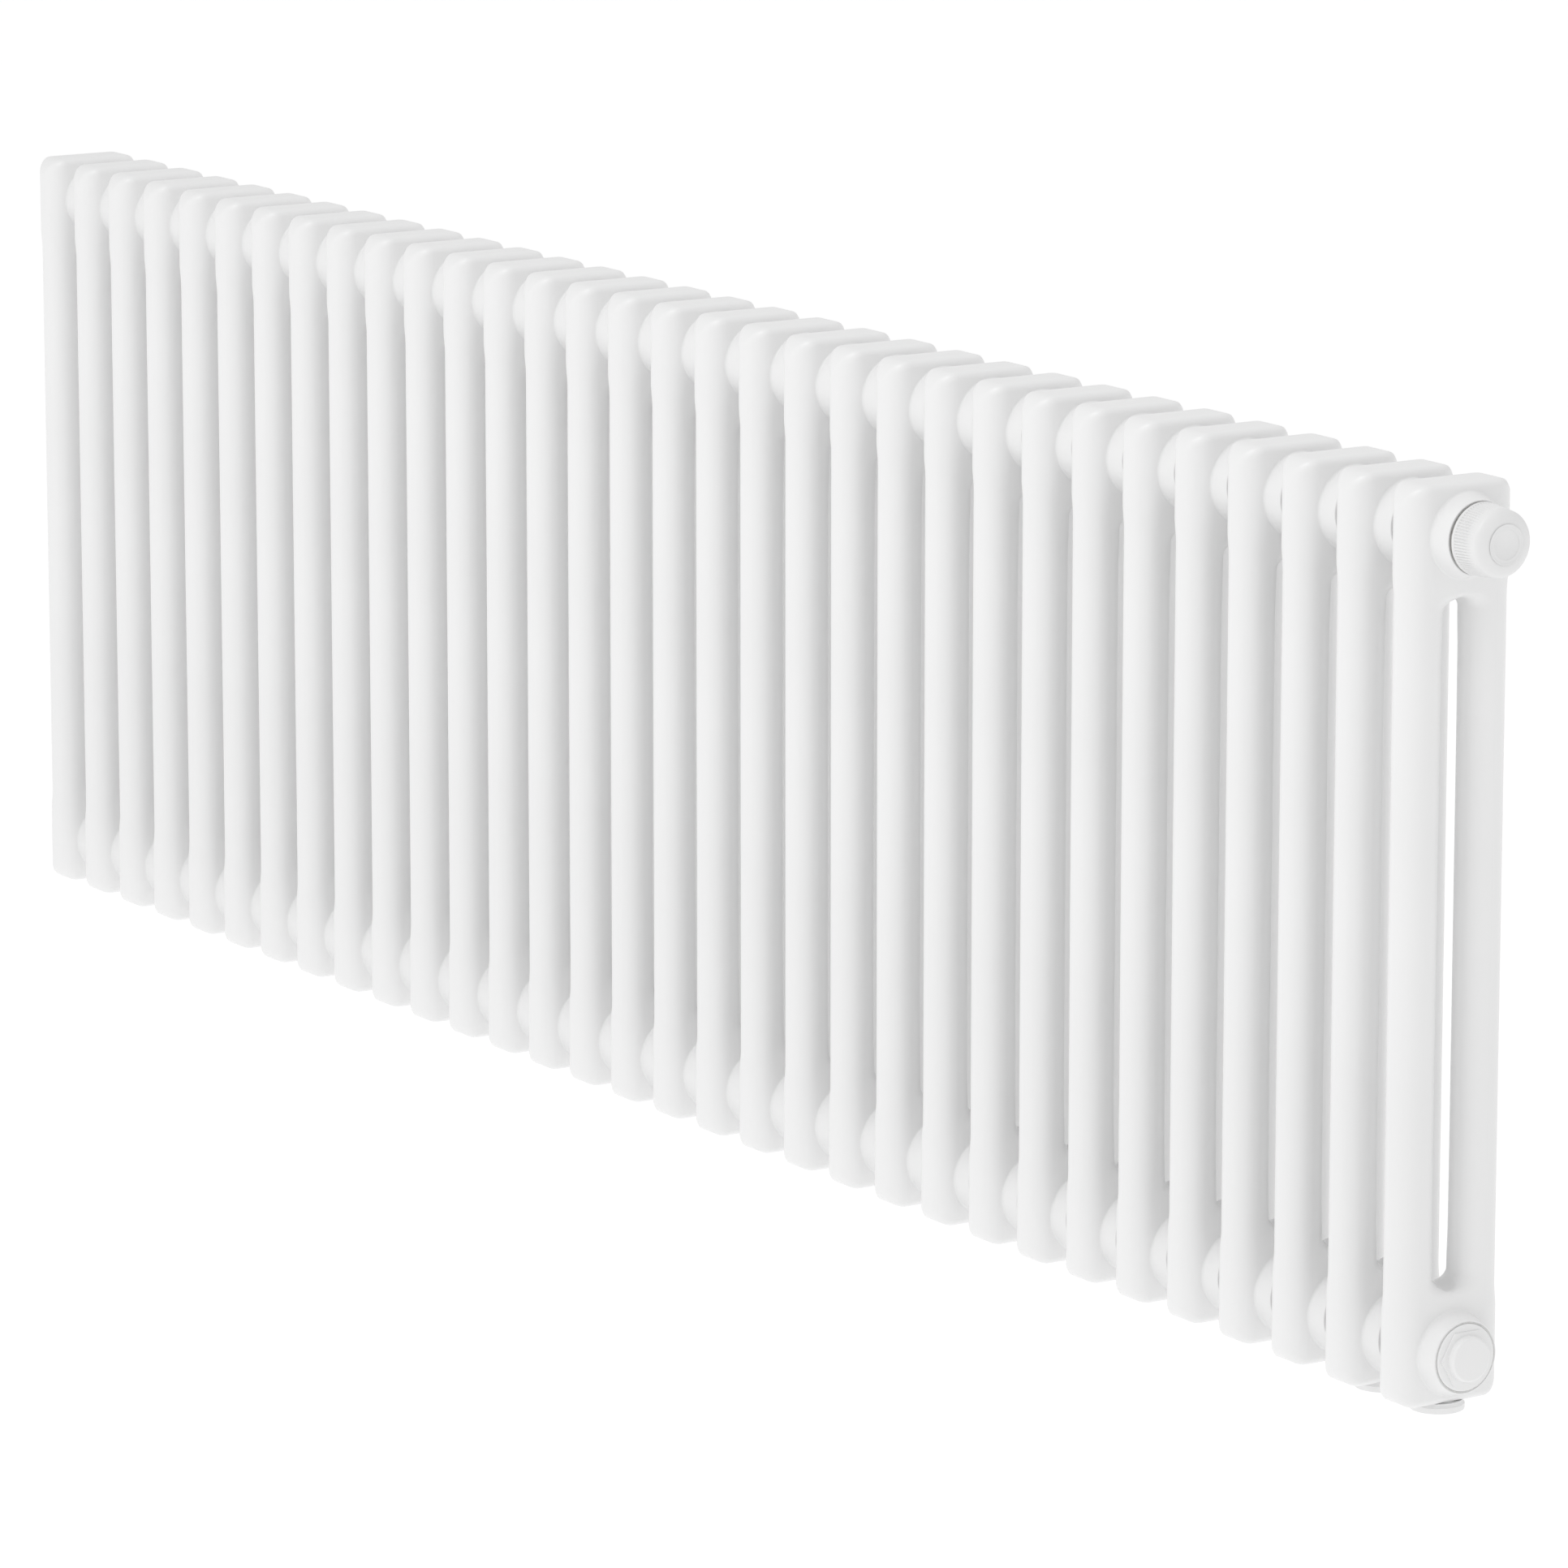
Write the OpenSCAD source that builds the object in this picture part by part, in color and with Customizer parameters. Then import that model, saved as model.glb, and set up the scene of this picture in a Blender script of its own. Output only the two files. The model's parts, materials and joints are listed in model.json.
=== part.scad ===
// Column radiator: two-tube sections in a row, built-in valve at the top of the right end,
// bottom connection under the last two sections. Millimetres, +Z up, front towards -Y.
// Origin: middle of the row, mid depth, on the underside of the upper necks, where brackets carry it.

/* [Row] */
// Number of sections
sections = 32; // [4:1:32]
// Distance between neighbouring sections, which is also the port spacing
pitch = 50; // [48:0.5:56]
// Height over the heads
height = 500; // [400:10:1000]

/* [Tubes] */
// Outer diameter of a tube
tube_d = 25.4; // [24:0.1:26.4]
// Wall of a tube
tube_wall = 1.25; // [1:0.05:2]
// Distance between the front and the rear tube centres
tube_gap = 42.5; // [40:0.5:46]

/* [Heads] */
// Thickness of a head along the row
head_t = 27; // [26.6:0.1:28]
// Height of a head with its two legs
head_h = 70; // [68:1:80]
// Height of the crotch between the legs
crotch_h = 61.5; // [58:0.5:64]
// Rounding of a head's front and rear corners
corner_r = 12; // [9:0.5:14]
// Rounding of the long edges at a head's end
edge_r = 4; // [2:0.5:5]
// Wall of a head
head_wall = 1.6; // [1.5:0.1:2.4]

/* [Necks] */
// Height of a neck's axis above the head's end
neck_h = 28; // [27:0.5:30]
// Radius of a neck where it leaves the head
neck_root_r = 22.9; // [21.5:0.1:23.5]
// Radius of a neck's rim
neck_rim_r = 20.5; // [20:0.1:21]
// Width of the weld groove between two rims
groove_w = 2; // [1:0.1:3]
// Radius of the water way through the necks
neck_bore_r = 15.2; // [15.15:0.05:15.6]

/* [Hand cap] */
// Radius of the cap at its lip
cap_r = 19.8; // [19:0.1:20.4]
// Radius of the cap at its front shoulder
cap_front_r = 18.2; // [17.5:0.1:18.6]
// Length of the cap
cap_len = 21.8; // [21:0.1:24]
// Number of ribs round the cap
cap_ribs = 72; // [36:4:90]
// Depth of a groove between two ribs
rib_depth = 0.5; // [0.3:0.05:0.6]

/* [Ports] */
// Outer radius of a port nipple
port_r = 15; // [14:0.5:16]
// Length of a nipple below the head
port_h = 5.5; // [4:0.5:8]
// Radius of the G1/2 thread's crests in the port
port_bore_r = 9.32; // [9.3:0.01:9.6]

/* [Hidden] */
$fn = 96;
tiny = 0.05;
through = 1;

tube_r = tube_d / 2;
tube_y = tube_gap / 2;
head_r = head_t / 2;
head_y = tube_y + head_r;
rim_x = (pitch - groove_w) / 2;
upper_neck_h = height - neck_h;
seat_h = upper_neck_h - neck_rim_r;

// Gap that keeps a tube's end clear of the head's leg
weld_gap = 0.05;

// Where the head starts to narrow to the tubes, and the web between its legs
taper_h = 49;
web_root_h = taper_h - 1;
web_shoulder_h = crotch_h - 3.5;
web_shoulder_r = head_r - 0.5;
web_r = head_r - 3;
web_end_h = head_h - 2;
arch_r = tube_y - tube_r;

// Hollow of a head
cavity_h = crotch_h - 4.5;
cavity_inset = head_wall + 0.5;
cavity_corner_r = corner_r - 2;
leg_bore_h = cavity_h - 2;

// Rim, recess, gasket and flange at each free neck end
end_rim_x = rim_x + 0.6;
rim_chamfer_x = 0.4;
rim_chamfer_r = 0.3;
recess_r = 19.5;
recess_depth = 1.4;
gasket_r = 19.3;
gasket_in_r = 16;
gasket_t = 0.8;
flange_r = 18.6;
flange_t = 1.3;
flange_chamfer = 0.8;
flange_front_r = 17.2;
flange_x = end_rim_x - recess_depth + gasket_t;
face_x = flange_x + flange_t;
barrel_r = 15.1;
barrel_len = 10;
barrel_chamfer = 1;

// Blind plug
plug_hex_af = 29;
plug_hex_t = 1.2;
plug_boss_r = 12.4;
plug_boss_h = 4.3;
plug_boss_round = 1.5;
plug_hollow_r = 12;
plug_end_t = 2.5;

// Weld rings in the grooves
ring_in_r = 15.4;
ring_out_r = 18.4;

// Valve insert, measured along the row from the middle of the last section
nose_r = 14.95;
nose_end_x = 33.5;
nose_chamfer = 0.8;
insert_tube_r = 11;
insert_bore_r = 8.5;
insert_end_x = -22;
insert_chamfer = 1;
valve_seat_x = -19;
valve_hole_r = 5.5;
guide_x = 9;
guide_t = 3;
window_w = 8;
window_x = -14;
window_len = 20;
seat_ring_x = -22.6;
seat_ring_t = 6;
nose_seal_x = -20.5;
nose_seal_r = 0.9;
nose_seal_ring_r = insert_tube_r - 0.3;

// Gland in the nose
gland_x = 27;
gland_head_x = nose_end_x + 0.2;
gland_head_t = 2.4;
gland_head_af = 19;
gland_seal_x = 30;
gland_seal_w = 2;
gland_seal_out_r = 4.4;

// Spindle with its collar, disc and screw
spindle_r = 2.5;
spindle_bore_r = 2.56;
spindle_end_x = 38;
spindle_chamfer = 0.6;
spindle_collar_x = 22;
spindle_collar_r = 6.6;
spindle_collar_t = 1.5;
disc_r = 7.2;
disc_in_r = 1.6;
disc_t = 2.4;
disc_lift = 1.55;
holder_t = 1.6;
disc_screw_r = 1.5;
disc_screw_head_r = 3;
disc_screw_head_t = 1.6;
disc_screw_chamfer = 0.4;
spring_r = 5.2;
spring_wire_r = 0.5;
spring_turns = 5;
spring_play = 0.1;

// Hand cap: one turn of its M30x1.5 thread moves it by cap_travel
cap_travel = 1.5;
cap_x = end_rim_x + cap_travel + 0.4;
cap_lip = 2;
cap_lip_chamfer = 0.3;
cap_mouth_r = 18.9;
cap_mouth_depth = 2;
cap_thread_r = 15.05;
cap_thread_end_x = nose_end_x + cap_travel + 0.4;
cap_hollow_r = 13.6;
cap_end_wall = 2.3;
cap_dome_h = 5;
cap_push_r = 4.2;
cap_push_gap = 0.05;

// Air vent
vent_hole_r = 1.5;
vent_nose_r = 9;
vent_nose_root = 2;
vent_nose_len = 8;
vent_outlet_r = 1.2;
screw_r = 3.4;
screw_bore_r = screw_r + tiny;
screw_len = 11;
screw_tip_r = 1;
screw_tip_from = 0.6;
screw_shoulder = 1.6;
screw_bore_from = 1.5;
vent_outlet_from = 3;
screw_chamfer = 0.5;
screw_slot_w = 1.2;
screw_slot_depth = 1.5;

// Ports and baffle
port_spigot_r = 11.3;
port_spigot_h = 9;
port_chamfer = 1;
port_hole_r = 11.4;
baffle_r = 15.1;
baffle_t = 1.5;
baffle_x = -22;

function two_digits(i) = i < 10 ? str("0", i) : str(i);
function section_name(i) = str("section_", two_digits(i));
function section_x(i) = (i - (sections + 1) / 2) * pitch;

// ---- helpers ----

// Turns a shape built along +Z so that it lies along +X
module along_x() {
    rotate([0, 90, 0]) children();
}

// A turned piece: points are [distance along the row, radius]
module turned(points) {
    along_x() rotate_extrude() polygon([for (p = points) [p[1], p[0]]]);
}

// A round bar along the row from one place to another
module bar(from_x, to_x, r) {
    translate([from_x, 0, 0]) along_x() cylinder(h = to_x - from_x, r = r);
}

// A flat ring along the row
module ring(from_x, to_x, in_r, out_r) {
    difference() {
        bar(from_x, to_x, out_r);
        bar(from_x - through, to_x + through, in_r);
    }
}

// A hexagonal bar along the row with a corner towards the front
module hex_bar(from_x, to_x, across_flats) {
    translate([from_x, 0, 0])
        along_x()
            rotate([0, 0, 90])
                cylinder(h = to_x - from_x, r = across_flats / sqrt(3), $fn = 6);
}

// Places a piece on the upper or lower neck axis of a section, pointing out of the right end
module at_neck(i, h) {
    translate([section_x(i), 0, h - seat_h]) children();
}

// The same for the left end
module at_left_neck(h) {
    at_neck(1, h) mirror([1, 0, 0]) children();
}

// ---- section ----

// Outline of a head seen from above: two half rounds joined by straight sides
module head_plan(r) {
    for (side = [-1, 1]) translate([0, side * tube_y]) circle(r = r);
    square([2 * r, 2 * tube_y], center = true);
}

// Outline of a head seen along the row, with rounded lower corners
module head_side(inset, r, top) {
    half = head_y - inset;
    for (side = [-1, 1]) translate([side * (half - r), inset + r]) circle(r = r);
    translate([-half + r, inset]) square([2 * (half - r), top - inset]);
    translate([-half, inset + r]) square([2 * half, top - inset - r]);
}

// Outline of a head seen from the front, with rounded lower edges
module head_front(top) {
    for (side = [-1, 1]) translate([side * (head_r - edge_r), edge_r]) circle(r = edge_r);
    translate([-head_r + edge_r, 0]) square([2 * (head_r - edge_r), top]);
    translate([-head_r, edge_r]) square([head_t, top - edge_r]);
}

// Extrudes a side outline along the row
module extrude_along_row(w) {
    rotate([90, 0, 90]) linear_extrude(w, center = true) children();
}

// Extrudes a front outline from front to rear
module extrude_to_rear(w) {
    rotate([90, 0, 0]) linear_extrude(w, center = true) children();
}

module head_block() {
    intersection() {
        linear_extrude(taper_h) head_plan(head_r);
        extrude_along_row(2 * head_t) head_side(0, corner_r, 2 * head_h);
        extrude_to_rear(4 * head_y) head_front(2 * head_h);
    }
}

// Two round legs that narrow to the tubes' diameter
module head_legs() {
    for (side = [-1, 1]) translate([0, side * tube_y, 0]) {
        translate([0, 0, taper_h])
            cylinder(h = crotch_h - taper_h, r1 = head_r - tiny, r2 = tube_r);
        translate([0, 0, crotch_h])
            cylinder(h = head_h - crotch_h, r = tube_r);
    }
}

// Web between the legs, cut to a round arch
module head_web() {
    difference() {
        extrude_to_rear(tube_gap) polygon([
            [-head_r + tiny, web_root_h],
            [head_r - tiny, web_root_h],
            [web_shoulder_r, web_shoulder_h],
            [web_r, crotch_h],
            [web_r, web_end_h],
            [-web_r, web_end_h],
            [-web_r, crotch_h],
            [-web_shoulder_r, web_shoulder_h]
        ]);
        translate([0, 0, crotch_h + arch_r]) bar(-head_t, head_t, arch_r);
    }
}

// The neck is a slightly conical collar with a small chamfer on its rim
module neck_cone(side, end_x) {
    mirror([side > 0 ? 0 : 1, 0, 0])
        translate([0, 0, neck_h])
            turned([
                [head_r / 2, 0],
                [head_r / 2, neck_root_r],
                [head_r, neck_root_r],
                [end_x - rim_chamfer_x, neck_rim_r],
                [end_x, neck_rim_r - rim_chamfer_r],
                [end_x, 0]
            ]);
}

module head_cavity() {
    intersection() {
        linear_extrude(cavity_h) head_plan(head_r - head_wall);
        extrude_along_row(2 * head_t) head_side(cavity_inset, cavity_corner_r, 2 * head_h);
    }
    for (side = [-1, 1]) translate([0, side * tube_y, leg_bore_h])
        cylinder(h = head_h, r = tube_r - tube_wall);
    translate([0, 0, neck_h]) bar(-2 * pitch, 2 * pitch, neck_bore_r);
}

// Recess for the gasket at a free neck end
module neck_recess(side) {
    mirror([side > 0 ? 0 : 1, 0, 0])
        translate([0, 0, neck_h])
            bar(end_rim_x - recess_depth, end_rim_x + through, recess_r);
}

// One head standing on its outer end; free_side is 1 or -1 where the neck is a free end
module head(free_side, has_port) {
    difference() {
        union() {
            head_block();
            head_legs();
            head_web();
            neck_cone(1, free_side == 1 ? end_rim_x : rim_x);
            neck_cone(-1, free_side == -1 ? end_rim_x : rim_x);
        }
        head_cavity();
        if (free_side != 0) neck_recess(free_side);
        if (has_port) translate([0, 0, -through]) cylinder(h = 4 * head_wall, r = port_hole_r);
    }
}

module tube(side) {
    translate([0, side * tube_y, head_h + weld_gap]) difference() {
        cylinder(h = height - 2 * (head_h + weld_gap), r = tube_r);
        translate([0, 0, -through])
            cylinder(h = height, r = tube_r - tube_wall);
    }
}

// A section: two pressed heads and two tubes, welded end to end
module section(i) {
    free_side = i == 1 ? -1 : i == sections ? 1 : 0;
    has_port = i >= sections - 1;
    color("white") translate([section_x(i), 0, -seat_h]) {
        head(free_side, has_port);
        translate([0, 0, height]) mirror([0, 0, 1]) head(free_side, false);
        tube(-1);
        tube(1);
    }
}

// ---- weld rings, ports and baffle ----

module weld_rings(h) {
    color("gainsboro") for (i = [1 : sections - 1]) at_neck(i, h)
        ring(rim_x, pitch - rim_x, ring_in_r, ring_out_r);
}

module weld_rings_top() {
    weld_rings(upper_neck_h);
}

module weld_rings_bottom() {
    weld_rings(neck_h);
}

// A short nipple with a G1/2 inside thread, mouth downwards
module nipple(i) {
    color("white") translate([section_x(i), 0, -seat_h]) rotate_extrude() polygon([
        [port_bore_r, -port_h],
        [port_r - port_chamfer / 2, -port_h],
        [port_r, -port_h + port_chamfer / 2],
        [port_r, -2 * port_chamfer],
        [port_r - port_chamfer, -port_chamfer],
        [port_r - port_chamfer, 0],
        [port_spigot_r, 0],
        [port_spigot_r, port_spigot_h],
        [port_bore_r, port_spigot_h]
    ]);
}

module supply_nipple() {
    nipple(sections);
}

module return_nipple() {
    nipple(sections - 1);
}

module flow_baffle() {
    color("silver") at_neck(sections, neck_h) bar(baffle_x, baffle_x + baffle_t, baffle_r);
}

// ---- plugs at the free neck ends ----

module gasket() {
    color("gainsboro") ring(end_rim_x - recess_depth, flange_x, gasket_in_r, gasket_r);
}

// Flange with a chamfered rim, hexagon and threaded barrel; hollow at its inner end
module plug_base() {
    difference() {
        union() {
            turned([
                [face_x - barrel_len, 0],
                [face_x - barrel_len, barrel_r - barrel_chamfer],
                [face_x - barrel_len + barrel_chamfer, barrel_r],
                [flange_x, barrel_r],
                [flange_x, flange_r],
                [face_x - flange_chamfer, flange_r],
                [face_x, flange_front_r],
                [face_x, 0]
            ]);
            hex_bar(face_x - tiny, face_x + plug_hex_t, plug_hex_af);
        }
        bar(face_x - barrel_len - through, face_x - plug_end_t, plug_hollow_r);
    }
}

// Round boss whose front edge is rounded
module plug_boss() {
    boss_h = plug_hex_t + plug_boss_h;
    translate([face_x, 0, 0]) along_x() rotate_extrude() {
        square([plug_boss_r - plug_boss_round, boss_h]);
        square([plug_boss_r, boss_h - plug_boss_round]);
        translate([plug_boss_r - plug_boss_round, boss_h - plug_boss_round])
            circle(r = plug_boss_round);
    }
}

module blind_plug() {
    color("white") {
        plug_base();
        plug_boss();
    }
}

module plug_bottom_right() {
    at_neck(sections, neck_h) blind_plug();
}

module plug_bottom_right_gasket() {
    at_neck(sections, neck_h) gasket();
}

module plug_bottom_left() {
    at_left_neck(neck_h) blind_plug();
}

module plug_bottom_left_gasket() {
    at_left_neck(neck_h) gasket();
}

// ---- air vent at the top of the left end ----

screw_tip_x = face_x + 1;
screw_head_x = screw_tip_x + screw_len;

module vent_plug() {
    color("white") at_left_neck(upper_neck_h) difference() {
        union() {
            plug_base();
            bar(face_x - vent_nose_root, face_x + plug_hex_t + vent_nose_len, vent_nose_r);
        }
        bar(face_x - barrel_len, face_x + vent_nose_len, vent_hole_r);
        bar(screw_tip_x + screw_bore_from, face_x + 3 * vent_nose_len, screw_bore_r);
        translate([screw_tip_x + vent_outlet_from, 0, -2 * vent_nose_r])
            cylinder(h = 2 * vent_nose_r, r = vent_outlet_r);
    }
}

module vent_plug_gasket() {
    at_left_neck(upper_neck_h) gasket();
}

// Needle screw with a screwdriver slot
module bleed_screw() {
    color("silver") at_left_neck(upper_neck_h) difference() {
        turned([
            [screw_tip_x + screw_tip_from, 0],
            [screw_tip_x + screw_shoulder, screw_tip_r],
            [screw_tip_x + screw_shoulder, screw_r],
            [screw_head_x - screw_chamfer, screw_r],
            [screw_head_x, screw_r - screw_chamfer],
            [screw_head_x, 0]
        ]);
        translate([screw_head_x - screw_slot_depth, -screw_slot_w / 2, -2 * screw_r])
            cube([2 * screw_slot_depth, screw_slot_w, 4 * screw_r]);
    }
}

// ---- valve insert at the top of the right end ----

module at_valve() {
    at_neck(sections, upper_neck_h) children();
}

module insert_windows() {
    for (turn = [0, 90])
        translate([window_x, 0, 0])
            rotate([turn, 0, 0])
                translate([0, -window_w / 2, -2 * insert_tube_r])
                    cube([window_len, window_w, 4 * insert_tube_r]);
}

module valve_insert_body() {
    color("goldenrod") at_valve() difference() {
        turned([
            [insert_end_x, 0],
            [insert_end_x, insert_tube_r - insert_chamfer],
            [insert_end_x + insert_chamfer, insert_tube_r],
            [flange_x - barrel_len, insert_tube_r],
            [flange_x - barrel_len + barrel_chamfer, barrel_r],
            [flange_x, barrel_r],
            [flange_x, flange_r],
            [face_x - flange_chamfer, flange_r],
            [face_x, flange_front_r],
            [face_x, nose_r],
            [nose_end_x - nose_chamfer, nose_r],
            [nose_end_x, nose_r - nose_chamfer],
            [nose_end_x, 0]
        ]);
        bar(valve_seat_x, guide_x, insert_bore_r);
        bar(guide_x + guide_t, nose_end_x + through, insert_bore_r);
        bar(guide_x - through, guide_x + guide_t + through, spindle_bore_r);
        bar(insert_end_x - through, valve_seat_x + tiny, valve_hole_r);
        insert_windows();
        translate([nose_seal_x, 0, 0]) nose_seal_shape(nose_seal_r + tiny);
    }
}

// Round seal ring, or the groove that holds it
module nose_seal_shape(r) {
    along_x() rotate_extrude() translate([nose_seal_ring_r, 0]) circle(r = r, $fn = 32);
}

module valve_nose_seal() {
    color("dimgray") at_valve() translate([nose_seal_x, 0, 0])
        nose_seal_shape(nose_seal_r);
}

module valve_insert_gasket() {
    at_valve() gasket();
}

module valve_seat_ring() {
    color("goldenrod") at_valve() difference() {
        ring(seat_ring_x, seat_ring_x + seat_ring_t, insert_tube_r + 2 * tiny, neck_bore_r - tiny);
        translate([nose_seal_x, 0, 0]) nose_seal_shape(nose_seal_r + tiny);
    }
}

module valve_gland() {
    color("goldenrod") at_valve() difference() {
        union() {
            bar(gland_x, gland_head_x + tiny, insert_bore_r - tiny);
            hex_bar(gland_head_x, gland_head_x + gland_head_t, gland_head_af);
        }
        bar(gland_x - through, gland_head_x + gland_head_t + through, spindle_bore_r);
        bar(gland_seal_x, gland_seal_x + gland_seal_w, gland_seal_out_r);
    }
}

module valve_gland_seal() {
    middle_r = (gland_seal_out_r - tiny + spindle_bore_r) / 2;
    thick_r = (gland_seal_out_r - tiny - spindle_bore_r) / 2;
    color("dimgray") at_valve()
        translate([gland_seal_x + gland_seal_w / 2, 0, 0])
            along_x() rotate_extrude() translate([middle_r, 0]) circle(r = thick_r, $fn = 32);
}

disc_x = valve_seat_x + disc_lift;
holder_x = disc_x + disc_t;

module valve_spindle() {
    color("silver") at_valve() turned([
        [holder_x, 0],
        [holder_x, disc_r],
        [holder_x + holder_t, disc_r],
        [holder_x + holder_t, spindle_r],
        [spindle_collar_x, spindle_r],
        [spindle_collar_x, spindle_collar_r],
        [spindle_collar_x + spindle_collar_t, spindle_collar_r],
        [spindle_collar_x + spindle_collar_t, spindle_r],
        [spindle_end_x - spindle_chamfer, spindle_r],
        [spindle_end_x, spindle_r - spindle_chamfer],
        [spindle_end_x, 0]
    ]);
}

module valve_disc() {
    color("dimgray") at_valve() ring(disc_x, holder_x, disc_in_r, disc_r);
}

module valve_disc_screw() {
    color("silver") at_valve() turned([
        [disc_x - disc_screw_head_t, 0],
        [disc_x - disc_screw_head_t, disc_screw_head_r - disc_screw_chamfer],
        [disc_x - disc_screw_head_t + disc_screw_chamfer, disc_screw_head_r],
        [disc_x, disc_screw_head_r],
        [disc_x, disc_screw_r],
        [holder_x, disc_screw_r],
        [holder_x, 0]
    ]);
}

// Rings stand for the coils of the compression spring between the guide and the spindle collar
module valve_return_spring() {
    start_x = guide_x + guide_t + spring_wire_r + spring_play;
    end_x = spindle_collar_x - spring_wire_r - spring_play;
    color("silver") at_valve() for (k = [0 : spring_turns])
        translate([start_x + k * (end_x - start_x) / spring_turns, 0, 0])
            along_x() rotate_extrude() translate([spring_r, 0]) circle(r = spring_wire_r, $fn = 24);
}

// ---- hand cap ----

cap_end_x = cap_x + cap_len;
cap_shoulder_x = cap_end_x - cap_dome_h;

// Squarish dome from the shoulder to the end face
function dome_point(a) = [
    cap_shoulder_x + cap_dome_h * sin(a),
    cap_front_r * sqrt(cos(a))
];

module cap_body() {
    turned(concat(
        [
            [cap_x, 0],
            [cap_x, cap_r - cap_lip_chamfer],
            [cap_x + cap_lip_chamfer, cap_r],
            [cap_x + cap_lip, cap_r]
        ],
        [for (a = [0 : 10 : 80]) dome_point(a)],
        [[cap_end_x, 0]]
    ));
}

// Grooves between the ribs: thin wedges that follow the taper and run out before the dome
module cap_grooves() {
    groove_len = cap_shoulder_x - cap_x - cap_lip;
    slope = atan((cap_r - cap_front_r) / (cap_shoulder_x - cap_x - cap_lip));
    for (k = [0 : cap_ribs - 1])
        rotate([k * 360 / cap_ribs, 0, 0])
            translate([cap_x + cap_lip, 0, cap_r - rib_depth])
                rotate([0, slope, 0])
                    rotate([45, 0, 0])
                        cube([groove_len, 1, 1]);
}

module hand_cap() {
    color("white") at_valve() difference() {
        cap_body();
        cap_grooves();
        bar(cap_x - through, cap_x + cap_mouth_depth, cap_mouth_r);
        bar(cap_x - through, cap_thread_end_x, cap_thread_r);
        difference() {
            bar(cap_thread_end_x - tiny, cap_end_x - cap_end_wall, cap_hollow_r);
            bar(spindle_end_x + cap_push_gap, cap_end_x, cap_push_r);
        }
    }
}

// ---- what is drawn ----

for (i = [1 : sections]) {
    section(i);
}
weld_rings_top();
weld_rings_bottom();
supply_nipple();
return_nipple();
flow_baffle();
plug_bottom_right();
plug_bottom_right_gasket();
plug_bottom_left();
plug_bottom_left_gasket();
vent_plug();
vent_plug_gasket();
bleed_screw();
valve_insert_body();
valve_insert_gasket();
valve_seat_ring();
valve_nose_seal();
valve_gland();
valve_gland_seal();
valve_spindle();
valve_disc();
valve_disc_screw();
valve_return_spring();
hand_cap();
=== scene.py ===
import json
import math

import bmesh
import bpy
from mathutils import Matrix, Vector


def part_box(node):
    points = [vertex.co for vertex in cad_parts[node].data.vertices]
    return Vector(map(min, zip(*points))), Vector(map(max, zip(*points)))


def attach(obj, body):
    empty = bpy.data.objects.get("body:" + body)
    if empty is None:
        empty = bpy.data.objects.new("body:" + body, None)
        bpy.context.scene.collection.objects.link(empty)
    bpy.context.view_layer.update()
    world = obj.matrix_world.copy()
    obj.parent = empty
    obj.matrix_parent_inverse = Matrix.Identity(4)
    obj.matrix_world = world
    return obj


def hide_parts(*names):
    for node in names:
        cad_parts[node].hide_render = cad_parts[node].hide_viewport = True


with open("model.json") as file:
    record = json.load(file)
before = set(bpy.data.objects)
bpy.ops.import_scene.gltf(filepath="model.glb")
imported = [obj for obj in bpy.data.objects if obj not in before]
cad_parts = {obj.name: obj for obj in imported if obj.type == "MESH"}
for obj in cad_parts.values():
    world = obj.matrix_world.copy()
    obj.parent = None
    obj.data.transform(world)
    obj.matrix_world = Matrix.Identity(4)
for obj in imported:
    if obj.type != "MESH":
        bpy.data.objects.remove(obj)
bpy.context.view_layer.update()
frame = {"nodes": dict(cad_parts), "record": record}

# ---------------------------------------------------------------- sizes, in metres

MM = 0.001
SECTIONS = sorted(n for n in frame["nodes"] if n.startswith("section_"))
FIRST, LAST = SECTIONS[0], SECTIONS[-1]


def middle(node):
    """Centre of a CAD node's box."""
    low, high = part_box(node)
    return (low + high) / 2


PLAIN_LOW, PLAIN_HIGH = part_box(SECTIONS[1])
FOOT_Z = PLAIN_LOW.z
HEIGHT = PLAIN_HIGH.z - PLAIN_LOW.z
HEAD_HALF_DEPTH = PLAIN_HIGH.y
RIM_X = (PLAIN_HIGH.x - PLAIN_LOW.x) / 2
PITCH = middle(SECTIONS[2]).x - middle(SECTIONS[1]).x

VALVE_AXIS_Z = middle("hand_cap").z
NECK_H = FOOT_Z + HEIGHT - VALVE_AXIS_Z
END_X = middle(SECTIONS[-2]).x + PITCH
START_X = -END_X
END_RIM_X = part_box(LAST)[1].x - END_X
FACE_X = END_RIM_X + 0.7 * MM

TUBE_R = 12.7 * MM
HEAD_R = 13.5 * MM
TUBE_Y = HEAD_HALF_DEPTH - HEAD_R
CORNER_R = 12 * MM
TOP_EDGE_R = 4 * MM
ROUND_SHARE = 0.44
INNER_H = 8 * MM
INNER_CORNER_R = 3.5 * MM
CROTCH_EDGE_R = 3.5 * MM
CROTCH_BLEND = math.radians(75)
CROTCH_H = 61.5 * MM
TAPER_LOW = 62 * MM
TAPER_HIGH = 48 * MM
SLOT_HALF = TUBE_Y - TUBE_R
ARCH_R = 7.9 * MM

NECK_ROOT_R = 22.9 * MM
NECK_RIM_R = 20.5 * MM
NECK_BORE_R = 15.2 * MM
NECK_FILLET = 1.3 * MM
NECK_EDGE_R = 0.7 * MM
NECK_SUNK = 3 * MM
NECK_CLOSED = 9 * MM
NECK_SINK = 0.03 * MM
RECESS_R = 19.5 * MM
RECESS_DEPTH = 1.4 * MM
RECESS_EDGE_R = 0.3 * MM

PORT_REACH = 11.2 * MM
PORT_WALL_R = 11 * MM
PORT_SPREAD = 1.3
PORT_DEPTH = 14 * MM


def smooth(t):
    t = min(max(t, 0.0), 1.0)
    return t * t * (3 - 2 * t)


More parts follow.
